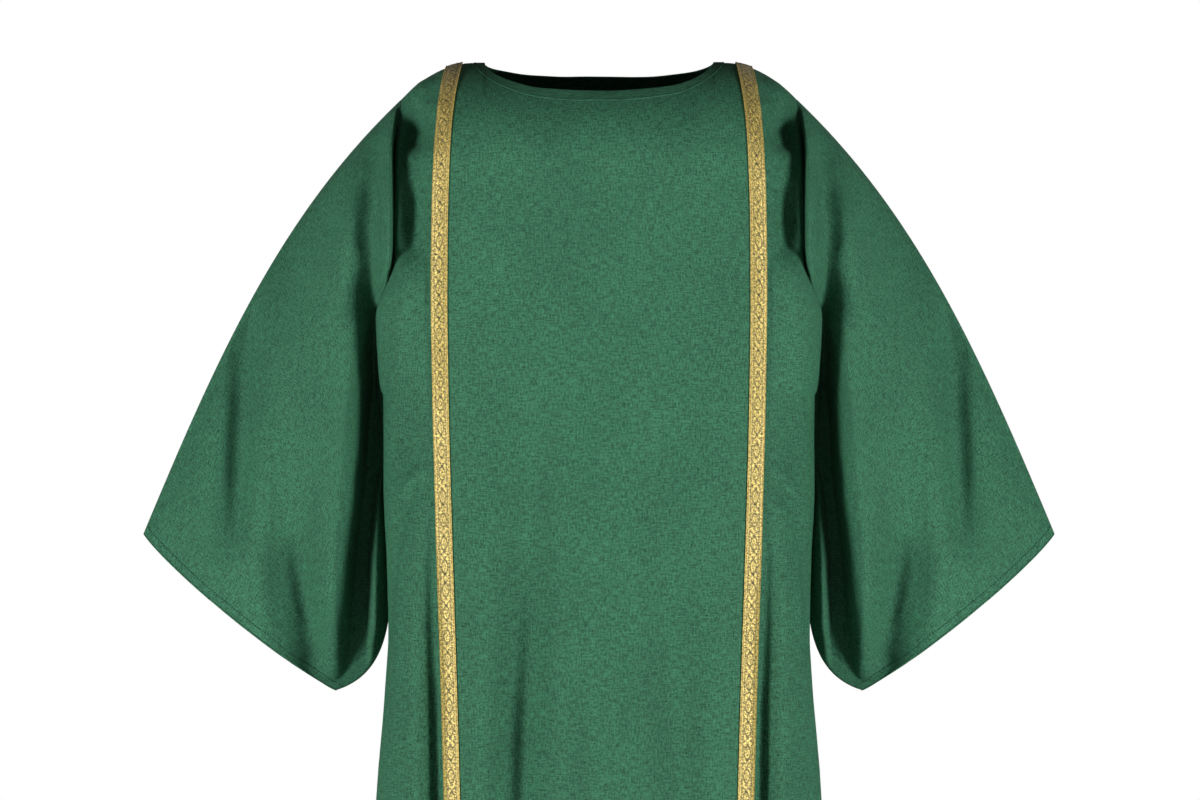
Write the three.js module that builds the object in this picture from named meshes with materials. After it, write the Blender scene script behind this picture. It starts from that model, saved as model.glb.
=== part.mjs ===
// A deacon's dalmatic: the wide-sleeved over-vestment worn above an alb, with two gold galloons
// running over the shoulders, as it hangs on its wearer with the arms down.
// Millimetres. +Z is up, the front faces -Y and +X is the wearer's left. The origin lies midway
// between the two neck points, on the shoulder line that carries the whole garment.

import * as THREE from "three";

// Body of the garment.
const LENGTH = 1200; // shoulder line to the bottom hem
const SHOULDER_HALF = 198; // centre line to the shoulder point, where a sleeve begins
const SHOULDER_DROP = 35; // how far the shoulder point lies below the shoulder line
const SHOULDER_RISE = 2; // the crown of the shoulder, above the shoulder line
const CROWN_OUT = 126; // centre line to that crown
const DOME_DROP = 100; // height over which the cloth turns from the shoulder to hanging straight
const CHEST_DEPTH = 118; // shoulder seam forward to the chest
const BACK_DEPTH = 108; // shoulder seam back to the shoulder blades
const HEM_DEPTH = 150; // centre plane to the front and to the back at the hem
const CHEST_FLARE = 5; // the chest is this much wider than the shoulder point, each side
const SIDE_ROLL_OUT = 17; // below the sleeve's roll the side edge stands out this much more
const WAIST_IN = 5; // the arms press the side edge in this much
const HEM_FLARE = 39; // the skirt widens by this much to the hem, each side
const SIDE_PINCH = 14; // the side seam lies this far inside the front and back side edges
const SECTION_POWER = 3; // squareness of the body's section: 2 is an ellipse

// Heights below the shoulder line where the side edge changes.
const ROLL_END = 195; // the sleeve's roll lies over the body down to here
const ROLL_CHANGE = 55; // the height over which the body's side edge comes to the front
const WAIST_FROM = 420;
const WAIST_AT = 578;

// Neck opening.
const NECK_HALF = 115; // centre line to the neck point
const NECK_FRONT = 85; // shoulder line forward to the middle of the neckline
const NECK_BACK = 52; // shoulder line back to the middle of the back neckline
const NECK_ROUND = 3.1; // squareness of the neckline from above: 2 is an ellipse

// Sleeves, as they hang.
const ARMHOLE_HEIGHT = 295; // shoulder point down to the armpit
const ARMHOLE_FRONT = 78; // depth of the armhole in front of its middle plane
const ARMHOLE_BACK = 74; // and behind it
const SLEEVE_OUT = 257; // shoulder point out to the tip of the sleeve
const SLEEVE_FALL = 433; // shoulder point down to the tip of the sleeve
const SHOULDER_ROUND = 150; // length of the shoulder's own slope at the start of the top edge
const TIP_STRAIGHT = 200; // length of the nearly straight end of the top edge
const CORNER_OUT = 56; // armpit out to the lower corner of the sleeve's mouth
const CORNER_FALL = 295; // armpit down to that corner
const UNDERARM_OUT = 12; // the underarm seam leaves the armpit this far off the body
const UNDERARM_TUCK = 18; // and is drawn in by this much before it turns out to the corner
const MOUTH_DEPTH = 45; // half the depth of the sleeve's open mouth
const ROLL_DEPTH = 16; // height of the roll of cloth that stands up in front of the armhole
const ROLL_AT = 0.09; // where it crests, from 0 at the armhole to 1 at the mouth
const ROLL_LOW = 0.45; // from here down, as a share of the way to the underarm, it sinks
const ROLL_GONE = 0.62; // and here it is gone

// Cloth, trimmings and the room between them.
const CLOTH = 2.5; // the folded, faced cloth as a plain solid
const GAP = 0.3; // between pieces that lie on or meet each other
const GALLOON_WIDTH = 16;
const GALLOON_THICK = 1.2;
const GALLOON_OFF_NECK = 21; // neck point out to its inner edge, on the shoulder
const GALLOON_SPREAD = 14; // it moves out by this much over the chest
const GALLOON_RETURN = 16; // and back in by this much down the skirt
const FACING_WIDTH = 14; // the bias facing turned in around the neck
const FACING_THICK = 1.5;
const HEM_TURN = 20; // turned-up bottom hem
const SLEEVE_HEM_TURN = 9; // narrow hem of the sleeve's mouth
const HEM_THICK = 1.5;

// How finely the sheets are drawn.
const NECK_COLUMNS = 5;
const SHOULDER_COLUMNS = 2;
const SIDE_COLUMNS = 5;
const DOME_STEPS = 5;
const ARMPIT_STEPS = 4;
const SKIRT_STEPS = 8;
const SLEEVE_STEPS = [0, 0.04, ROLL_AT, 0.16, 0.3, 0.48, 0.66, 0.84];

const cloth = new THREE.MeshStandardMaterial({ color: 0x3a6e57, roughness: 0.85, metalness: 0 });
const facing = new THREE.MeshStandardMaterial({ color: 0x2f5c48, roughness: 0.9, metalness: 0 });
const galloon = new THREE.MeshStandardMaterial({ color: 0xc0a85c, roughness: 0.5, metalness: 0.4 });

const ARMPIT_Z = -SHOULDER_DROP - ARMHOLE_HEIGHT;
const ARMHOLE_MID = -SHOULDER_DROP - ARMHOLE_HEIGHT / 2;

// 0 before `from`, 1 after `to`, and an even curve between them.
function ease(from, to, at) {
  return THREE.MathUtils.smoothstep(at, from, to);
}

// Half the body's width at a height, measured to its side edges.
function halfWidth(z) {
  const below = -z;
  const skirt = Math.max(0, (below - WAIST_AT) / (LENGTH - WAIST_AT));
  return (
    SHOULDER_HALF +
    CHEST_FLARE * ease(SHOULDER_DROP, SHOULDER_DROP + ROLL_CHANGE, below) +
    SIDE_ROLL_OUT * ease(ROLL_END, ROLL_END + ROLL_CHANGE, below) -
    WAIST_IN * ease(WAIST_FROM, WAIST_AT, below) +
    HEM_FLARE * skirt
  );
}

// Height of the shoulder line above a point at distance x from the centre.
function ridge(x) {
  const out = (x - CROWN_OUT) / (SHOULDER_HALF - CROWN_OUT);
  return x < CROWN_OUT ? SHOULDER_RISE : SHOULDER_RISE - (SHOULDER_RISE + SHOULDER_DROP) * out ** 2;
}

// Fall of the shoulder line for each millimetre outwards, at the shoulder point.
const SHOULDER_SLOPE = (2 * (SHOULDER_RISE + SHOULDER_DROP)) / (SHOULDER_HALF - CROWN_OUT);

// Distance from the centre line to the middle of a galloon at a height.
function galloonMiddle(z) {
  const spread = GALLOON_SPREAD * (1 - Math.exp(Math.min(z, 0) / 60));
  const top = NECK_HALF + GALLOON_OFF_NECK + GALLOON_WIDTH / 2;
  return top + spread - GALLOON_RETURN * ease(ROLL_END, LENGTH * 0.75, -z);
}

// A side of the body is a section that turns from the centre (0) to the side seam (a right angle).
function sine(turn) {
  return Math.sin(turn) ** (2 / SECTION_POWER);
}

function cosine(turn) {
  return Math.max(0, Math.cos(turn)) ** (2 / SECTION_POWER);
}

function turnAt(share) {
  return Math.asin(Math.min(1, share) ** (SECTION_POWER / 2));
}

// Depth of the armhole's edge from its middle plane at a height, for the part below its middle.
function armholeDepth(z, deepest) {
  if (z >= ARMHOLE_MID) return deepest;
  const down = (ARMHOLE_MID - z) / (ARMHOLE_HEIGHT / 2);
  return down >= 1 ? 0 : deepest * Math.sqrt(1 - down ** 2);
}

// One point of the body's outer face. turn runs from the centre to the side seam. down runs from
// 0 at the neckline or shoulder seam to 1 where the cloth hangs straight, to 2 at the armpit's
// height and to 3 at the bottom hem.
function bodyPoint(side, turn, down) {
  const c = cosine(turn);
  const topX = SHOULDER_HALF * sine(turn);
  const inNeck = Math.min(1, topX / NECK_HALF);
  const reach = side.neck * (1 - inNeck ** NECK_ROUND) ** (1 / NECK_ROUND);
  const deepest = side.armhole + (side.chest - side.armhole) * c;
  const fall = ARMHOLE_HEIGHT / 2 + (DOME_DROP - ARMHOLE_HEIGHT / 2) * c;
  const start = Math.asin(Math.min(1, reach / deepest));
  const top = ridge(topX);
  let z;
  let depth;
  let middle = side.chest;
  if (down <= 1) {
    const lean = start + (Math.PI / 2 - start) * down;
    z = top - fall * (1 - Math.cos(lean));
    depth = deepest * Math.sin(lean);
  } else {
    const straight = top - fall;
    z = down <= 2
      ? straight + (ARMPIT_Z - straight) * (down - 1)
      : ARMPIT_Z + (-LENGTH - ARMPIT_Z) * (down - 2);
    const edge = armholeDepth(z, side.armhole);
    middle += (HEM_DEPTH - side.chest) * ease(-ARMPIT_Z, LENGTH, -z);
    depth = edge + (middle - edge) * c;
  }
  const pinch = SIDE_PINCH * ease(ROLL_END, ROLL_END + ROLL_CHANGE, -z);
  const x = halfWidth(z) * sine(turn) - pinch * Math.max(0, 1 - depth / middle / 0.6) ** 2;
  return new THREE.Vector3(x, side.facing * depth, z);
}

const FRONT = { facing: -1, chest: CHEST_DEPTH, armhole: ARMHOLE_FRONT, neck: NECK_FRONT };
const BACK = { facing: 1, chest: BACK_DEPTH, armhole: ARMHOLE_BACK, neck: NECK_BACK };

// The turn at which a column of the grid meets a given distance from the centre line. The side
// edge moves a little with height, so two rounds of looking up settle it.
function turnToReach(side, down, distanceAt) {
  let turn = turnAt(distanceAt(0) / SHOULDER_HALF);
  for (let round = 0; round < 4; round += 1) {
    const point = bodyPoint(side, turn, down);
    turn = turnAt((sine(turn) * distanceAt(point.z)) / point.x);
  }
  return turn;
}

// The columns of one half of a body panel at one height, from the centre to the side seam.
function columnTurns(side, down) {
  const inner = turnToReach(side, down, (z) => galloonMiddle(z) - GALLOON_WIDTH / 2);
  const topInner = turnToReach(side, 0, (z) => galloonMiddle(z) - GALLOON_WIDTH / 2);
  const neck = (turnAt(NECK_HALF / SHOULDER_HALF) * inner) / topInner;
  const outer = turnToReach(side, down, (z) => galloonMiddle(z) + GALLOON_WIDTH / 2);
  const turns = [];
  for (let i = 0; i < NECK_COLUMNS; i += 1) turns.push((neck * i) / NECK_COLUMNS);
  for (let i = 0; i < SHOULDER_COLUMNS; i += 1) {
    turns.push(neck + ((inner - neck) * i) / SHOULDER_COLUMNS);
  }
  turns.push(inner);
  for (let i = 0; i <= SIDE_COLUMNS; i += 1) {
    turns.push(outer + ((Math.PI / 2 - outer) * i) / SIDE_COLUMNS);
  }
  return turns;
}

const HALF_COLUMNS = NECK_COLUMNS + SHOULDER_COLUMNS + 1 + SIDE_COLUMNS;
const GALLOON_COLUMN = NECK_COLUMNS + SHOULDER_COLUMNS;

// The rows of a body panel: the first two take in the neck facing and the last two the hem.
function rowDowns() {
  const facingShare = FACING_WIDTH / (1.2 * DOME_DROP);
  const hemShare = HEM_TURN / (LENGTH + ARMPIT_Z);
  const downs = [0];
  for (let i = 0; i < DOME_STEPS; i += 1) {
    downs.push(facingShare + ((1 - facingShare) * i) / DOME_STEPS);
  }
  for (let i = 0; i < ARMPIT_STEPS; i += 1) downs.push(1 + i / ARMPIT_STEPS);
  for (let i = 0; i <= SKIRT_STEPS; i += 1) downs.push(2 + ((1 - hemShare) * i) / SKIRT_STEPS);
  downs.push(3);
  return downs;
}

const ROWS = rowDowns();
const ARMPIT_ROW = 1 + DOME_STEPS + ARMPIT_STEPS;

// A whole panel, from the wearer's right side seam to the left one.
function bodyGrid(side) {
  return ROWS.map((down) => {
    const left = columnTurns(side, down).map((turn) => bodyPoint(side, turn, down));
    const right = left.slice(1).reverse();
    return right.map((point) => new THREE.Vector3(-point.x, point.y, point.z)).concat(left);
  });
}

// The sleeve's outer face on the wearer's left. Its four edges are the armhole, the top edge, the
// underarm seam and the mouth, and the sheet between them is a Coons patch with a roll of cloth
// standing up along the armhole.
function sleeveGrid(side) {
  const columns = [...SLEEVE_STEPS];
  const hemShare = SLEEVE_HEM_TURN / Math.hypot(SLEEVE_OUT, SLEEVE_FALL);
  columns.push(1 - hemShare, 1);
  const shoulder = new THREE.Vector2(SHOULDER_HALF + GAP, -SHOULDER_DROP);
  const tip = new THREE.Vector2(shoulder.x + SLEEVE_OUT, shoulder.y - SLEEVE_FALL);
  const armpit = new THREE.Vector2(bodyPoint(side, Math.PI / 2, 2).x + GAP, ARMPIT_Z);
  const corner = new THREE.Vector2(armpit.x + CORNER_OUT, armpit.y - CORNER_FALL);
  const slope = new THREE.Vector2(1, -SHOULDER_SLOPE).setLength(SHOULDER_ROUND);
  const ending = new THREE.Vector2(-0.41, 0.91).setLength(TIP_STRAIGHT);
  const topEdge = new THREE.CubicBezierCurve(
    shoulder, shoulder.clone().add(slope), tip.clone().add(ending), tip,
  );
  const underarm = new THREE.CubicBezierCurve(
    armpit,
    new THREE.Vector2(armpit.x + UNDERARM_OUT, armpit.y - CORNER_FALL * 0.37),
    new THREE.Vector2(armpit.x - UNDERARM_TUCK, armpit.y - CORNER_FALL * 0.955),
    corner,
  );
  const mouth = new THREE.CubicBezierCurve(
    tip,
    new THREE.Vector2(tip.x - 30, tip.y - 40),
    new THREE.Vector2(corner.x + 25, corner.y + 10),
    corner,
  );
  return ROWS.slice(0, ARMPIT_ROW + 1).map((down) => {
    const edge = bodyPoint(side, Math.PI / 2, down);
    const level = THREE.MathUtils.clamp((edge.z - ARMHOLE_MID) / (ARMHOLE_HEIGHT / 2), -1, 1);
    const around = Math.acos(level) / Math.PI;
    const rim = mouth.getPoint(around);
    return columns.map((along) => {
      const top = topEdge.getPoint(along);
      const under = underarm.getPoint(along);
      const flat = new THREE.Vector2(
        (1 - around) * top.x + around * under.x,
        (1 - around) * top.y + around * under.y,
      );
      const armholeX = edge.x + GAP - ((1 - around) * shoulder.x + around * armpit.x);
      const armholeZ = edge.z - ((1 - around) * shoulder.y + around * armpit.y);
      const rimX = rim.x - ((1 - around) * tip.x + around * corner.x);
      const rimZ = rim.y - ((1 - around) * tip.y + around * corner.y);
      const swell = Math.sin(Math.PI * around);
      const depth = ((1 - along) * side.armhole + along * MOUTH_DEPTH) * swell;
      const crest = Math.exp(-(((along - ROLL_AT) / 0.05) ** 2)) * ease(0, 0.04, along);
      const roll = ROLL_DEPTH * crest * swell * (1 - ease(ROLL_LOW, ROLL_GONE, around));
      return new THREE.Vector3(
        flat.x + (1 - along) * armholeX + along * rimX,
        side.facing * (depth + roll),
        flat.y + (1 - along) * armholeZ + along * rimZ,
      );
    });
  });
}

// Outward directions of a grid's points, from the steps to their neighbours.
function outwards(grid, side) {
  const last = grid.length - 1;
  const end = grid[0].length - 1;
  const directions = grid.map((row, i) => row.map((point, j) => {
    const down = grid[Math.min(i + 1, last)][j].clone().sub(grid[Math.max(i - 1, 0)][j]);
    const across = row[Math.min(j + 1, end)].clone().sub(row[Math.max(j - 1, 0)]);
    return down.cross(across).normalize();
  }));
  const middle = directions[Math.floor(last / 2)][Math.floor(end / 2)];
  const turnRound = middle.y * side.facing < 0 ? -1 : 1;
  return directions.map((row) => row.map((direction) => direction.multiplyScalar(turnRound)));
}

// A layer of cloth between two distances from a grid's face, over a range of rows and columns.
// It stays on its own side of the seam plane, so that front and back meet with a gap.
function layer(grid, side, rows, columns, inner, outer) {
  const directions = outwards(grid, side);
  const points = [];
  [outer, inner].forEach((distance) => {
    for (let i = rows[0]; i <= rows[1]; i += 1) {
      for (let j = columns[0]; j <= columns[1]; j += 1) {
        const point = grid[i][j].clone().addScaledVector(directions[i][j], distance);
        point.y = side.facing * Math.max(side.facing * point.y, GAP / 2);
        points.push(point);
      }
    }
  });
  const high = rows[1] - rows[0] + 1;
  const wide = columns[1] - columns[0] + 1;
  const at = (face, i, j) => face * high * wide + i * wide + j;
  const faces = [];
  const quad = (a, b, c, d) => faces.push(a, b, c, a, c, d);
  for (let i = 0; i + 1 < high; i += 1) {
    for (let j = 0; j + 1 < wide; j += 1) {
      quad(at(0, i, j), at(0, i + 1, j), at(0, i + 1, j + 1), at(0, i, j + 1));
      faces.push(at(1, i, j), at(1, i + 1, j + 1), at(1, i + 1, j));
      faces.push(at(1, i, j), at(1, i, j + 1), at(1, i + 1, j + 1));
    }
  }
  for (let i = 0; i + 1 < high; i += 1) {
    quad(at(0, i, 0), at(1, i, 0), at(1, i + 1, 0), at(0, i + 1, 0));
    quad(at(0, i, wide - 1), at(0, i + 1, wide - 1), at(1, i + 1, wide - 1), at(1, i, wide - 1));
  }
  for (let j = 0; j + 1 < wide; j += 1) {
    quad(at(0, 0, j), at(0, 0, j + 1), at(1, 0, j + 1), at(1, 0, j));
    quad(at(0, high - 1, j), at(1, high - 1, j), at(1, high - 1, j + 1), at(0, high - 1, j + 1));
  }
  return solid(points, faces);
}

// A closed geometry from points and triangles, turned so that its faces point out.
function solid(points, faces) {
  let volume = 0;
  for (let i = 0; i < faces.length; i += 3) {
    const [a, b, c] = [points[faces[i]], points[faces[i + 1]], points[faces[i + 2]]];
    volume += a.dot(b.clone().cross(c));
  }
  const index = volume < 0 ? faces.slice().reverse() : faces;
  return new THREE.BufferGeometry().setFromPoints(points).setIndex(index);
}

// The same grid on the wearer's right.
function mirrored(grid) {
  return grid.map((row) => row.map((point) => new THREE.Vector3(-point.x, point.y, point.z)));
}

function piece(name, geometry, material) {
  const mesh = new THREE.Mesh(geometry, material);
  mesh.name = name;
  return mesh;
}

// Front or back of the body: the panel, its neck facing, its bottom hem and its two galloons.
function bodyHalf(word, side) {
  const grid = bodyGrid(side);
  const last = ROWS.length - 1;
  const end = 2 * HALF_COLUMNS;
  const under = -CLOTH - GAP;
  const neck = [HALF_COLUMNS - NECK_COLUMNS, HALF_COLUMNS + NECK_COLUMNS];
  const leftBand = [HALF_COLUMNS + GALLOON_COLUMN, HALF_COLUMNS + GALLOON_COLUMN + 1];
  const rightBand = [HALF_COLUMNS - GALLOON_COLUMN - 1, HALF_COLUMNS - GALLOON_COLUMN];
  const group = new THREE.Group();
  const add = (name, material, rows, columns, inner, outer) => {
    group.add(piece(name, layer(grid, side, rows, columns, inner, outer), material));
  };
  add(`${word}_panel`, cloth, [0, last], [0, end], -CLOTH, 0);
  add(`neck_facing_${word}`, facing, [0, 1], neck, under - FACING_THICK, under);
  add(`bottom_hem_${word}`, facing, [last - 1, last], [0, end], under - HEM_THICK, under);
  add(`galloon_${word}_left`, galloon, [0, last], leftBand, GAP, GAP + GALLOON_THICK);
  add(`galloon_${word}_right`, galloon, [0, last], rightBand, GAP, GAP + GALLOON_THICK);
  return group;
}

// One sleeve: its front and back, which are sewn along the top and under the arm, and the narrow
// hem turned in around the mouth.
function sleeve(hand, place) {
  const group = new THREE.Group();
  [["front", FRONT], ["back", BACK]].forEach(([word, side]) => {
    const grid = place(sleeveGrid(side));
    const end = grid[0].length - 1;
    const under = -CLOTH - GAP;
    const sheet = layer(grid, side, [0, ARMPIT_ROW], [0, end], -CLOTH, 0);
    const hem = layer(grid, side, [1, ARMPIT_ROW - 1], [end - 1, end], under - HEM_THICK, under);
    group.add(piece(`${hand}_sleeve_${word}`, sheet, cloth));
    group.add(piece(`${hand}_sleeve_hem_${word}`, hem, facing));
  });
  return group;
}

const dalmatic = new THREE.Group();
dalmatic.add(bodyHalf("front", FRONT), bodyHalf("back", BACK));
dalmatic.add(sleeve("left", (grid) => grid), sleeve("right", mirrored));

export default dalmatic;
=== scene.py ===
import bpy
import numpy as np
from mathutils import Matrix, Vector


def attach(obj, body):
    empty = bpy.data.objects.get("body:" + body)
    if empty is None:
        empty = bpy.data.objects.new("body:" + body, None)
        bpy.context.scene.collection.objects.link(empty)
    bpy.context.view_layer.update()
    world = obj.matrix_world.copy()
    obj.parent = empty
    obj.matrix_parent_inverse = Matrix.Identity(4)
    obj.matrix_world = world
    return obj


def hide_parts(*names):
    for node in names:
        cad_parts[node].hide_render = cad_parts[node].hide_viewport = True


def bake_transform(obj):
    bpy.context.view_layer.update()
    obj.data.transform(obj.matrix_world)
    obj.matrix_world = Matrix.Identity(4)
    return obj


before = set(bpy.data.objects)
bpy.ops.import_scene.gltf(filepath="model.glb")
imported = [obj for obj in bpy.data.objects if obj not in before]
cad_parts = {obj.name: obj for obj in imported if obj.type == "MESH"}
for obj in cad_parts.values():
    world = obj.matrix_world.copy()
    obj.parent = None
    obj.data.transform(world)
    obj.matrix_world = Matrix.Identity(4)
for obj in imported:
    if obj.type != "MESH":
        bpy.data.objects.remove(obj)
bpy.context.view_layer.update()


# ---------------------------------------------------------------------------------------------
# Body of the dalmatic: a front and a back of green slubbed plain weave, sewn at the shoulders and
# down the sides. It hangs from the shoulders, so its section stays round and its folds run down.

# Sizes are in metres. Heights are below the neck points: DOWN is a distance and Z a place.
LENGTH = 1.200
SHOULDER_HALF = 0.198
SHOULDER_DROP = 0.035
CROWN_OUT = 0.126
DOME_DROP = 0.100
HEM_DEPTH = 0.150
NECK_HALF = 0.115
NECK_POWER = 3.1
ARMHOLE_HALF = 0.1475
ARMPIT_Z = -SHOULDER_DROP - 2 * ARMHOLE_HALF
ARMHOLE_MID = -SHOULDER_DROP - ARMHOLE_HALF
FLARE_DOWN = 0.195
CHEST_DOWN = 0.250
ELBOW_DOWN = 0.420
WAIST_DOWN = 0.578
UPPER_FLARE = 0.005
CHEST_FLARE = 0.017
WAIST_PRESS = 0.0025
SKIRT_FLARE = 0.039
SIDE_LENGTH = LENGTH + ARMPIT_Z
SIDE_PINCH = 0.014
CLOTH = 0.0012
# The sleeve stands this far off the body, and each half of a seam this far off the seam's plane.
GAP = 0.0003
SEAM = 0.00002
MM = 0.001
FRONT = {"facing": -1, "chest": 0.118, "armhole": 0.078, "neck": 0.085, "seed": 3}
BACK = {"facing": 1, "chest": 0.108, "armhole": 0.074, "neck": 0.052, "seed": 8}


def ease(start, end, at):
    """Nothing before start, one after end, and three squares less two cubes between them."""
    share = np.clip((at - start) / (end - start), 0, 1)
    return share * share * (3 - 2 * share)


def half_width(z):
    """Half the body's width at a height: the shoulder, the chest's flare, the side edge coming to the
    front below the sleeve's roll, the waist pressed in by the arms, and the skirt's straight flare."""
    below = -z
    return (
        SHOULDER_HALF
        + UPPER_FLARE * ease(SHOULDER_DROP, 0.090, below)
        + CHEST_FLARE * ease(FLARE_DOWN, CHEST_DOWN, below)
        - WAIST_PRESS * ease(ELBOW_DOWN, WAIST_DOWN, below)
        + SKIRT_FLARE * np.maximum(0, (below - WAIST_DOWN) / (LENGTH - WAIST_DOWN))
    )


def side_seam(z, depth, middle):
    """How far the cloth is drawn in at the side seam: it grows as the square of the share of depth
    that is left, over the 0.6 of the depth that lies next to the seam."""
    pinch = SIDE_PINCH * ease(FLARE_DOWN, CHEST_DOWN, -z)
    return pinch * np.maximum(0, 1 - depth / middle / 0.6) ** 2


def body_shape(side, angle, down):
    """The body without its folds. Across it, out and fore are the two sides of a cubed ellipse at an
    angle from the centre. Down it, 0 to 1 is a quarter turn of an ellipse from the neckline or the
    shoulder seam, 1 to 2 is straight to the armpit's height and 2 to 3 is straight to the hem."""
    sine = np.abs(np.sin(angle))
    cosine = np.maximum(np.cos(angle), 0)
    size = np.cbrt(sine**3 + cosine**3)
    out = sine / size
    fore = cosine / size
    top_x = SHOULDER_HALF * out
    in_neck = np.minimum(1, top_x / NECK_HALF)
    reach = side["neck"] * (1 - in_neck**NECK_POWER) ** (1 / NECK_POWER)
    deepest = side["armhole"] + (side["chest"] - side["armhole"]) * fore
    fall = ARMHOLE_HALF + (DOME_DROP - ARMHOLE_HALF) * fore
    start = np.arcsin(np.minimum(1, reach / deepest))
    beyond = np.maximum(0, (top_x - CROWN_OUT) / (SHOULDER_HALF - CROWN_OUT))
    top = 0.002 - 0.037 * beyond**2
    lean = start + (np.pi / 2 - start) * np.clip(down, 0, 1)
    straight = top - fall
    z = np.where(down <= 1, top - fall * (1 - np.cos(lean)), straight)
    z = z + (ARMPIT_Z - straight) * np.clip(down - 1, 0, 1)
    z = z + (-LENGTH - ARMPIT_Z) * np.clip(down - 2, 0, 1)
    level = np.clip((ARMHOLE_MID - z) / ARMHOLE_HALF, 0, 1)
    at_edge = side["armhole"] * np.sqrt(1 - level**2)
    inside = side["armhole"] * (1 - ease(-ARMHOLE_MID, ELBOW_DOWN, -z))
    edge = inside + (at_edge - inside) * out**10
    middle = side["chest"] + (HEM_DEPTH - side["chest"]) * ease(-ARMPIT_Z, LENGTH, -z)
    depth = np.where(down <= 1, deepest * np.sin(lean), edge + (middle - edge) * fore)
    x = half_width(z) * out - side_seam(z, depth, middle)
    return np.stack([np.sign(angle) * x, side["facing"] * depth, z], -1)


def fold(x, z, inner, outer, line):
    """The height of one fold, or the depth of a valley. line gives its crest in millimetres as
    (out, up, height), and beside the nearest point of the crest the height falls off as a bell,
    whose width in millimetres is inner towards the body's middle and outer away from it."""
    near = np.full(x.shape, 1e9)
    height = np.zeros(x.shape)
    out, up = x * 1000, z * 1000
    for (out_a, up_a, height_a), (out_b, up_b, height_b) in zip(line, line[1:]):
        run, climb = out_b - out_a, up_b - up_a
        share = ((out - out_a) * run + (up - up_a) * climb) / (run * run + climb * climb)
        share = np.clip(share, 0, 1)
        away = np.hypot(out - out_a - share * run, up - up_a - share * climb)
        width = np.where(out < out_a + share * run, inner, outer)
        here = (height_a + share * (height_b - height_a)) * np.exp(-((away / width) ** 2))
        height = np.where(away < near, here, height)
        near = np.minimum(near, away)
    return height / 1000


def ripples(x, z, size, seed):
    """Uneven small waves about one unit high: the sum of fourteen sines of about one wavelength,
    each with its own direction and start, over the square root of fourteen."""
    dice = np.random.default_rng(seed)
    total = np.zeros(x.shape)
    for _ in range(14):
        way = dice.uniform(-1.0, 1.0)
        pace = 2 * np.pi / (size * dice.uniform(0.7, 1.5))
        total += np.sin(pace * (np.cos(way) * x + np.sin(way) * z) + dice.uniform(0, 6.3))
    return total / 14**0.5


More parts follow.
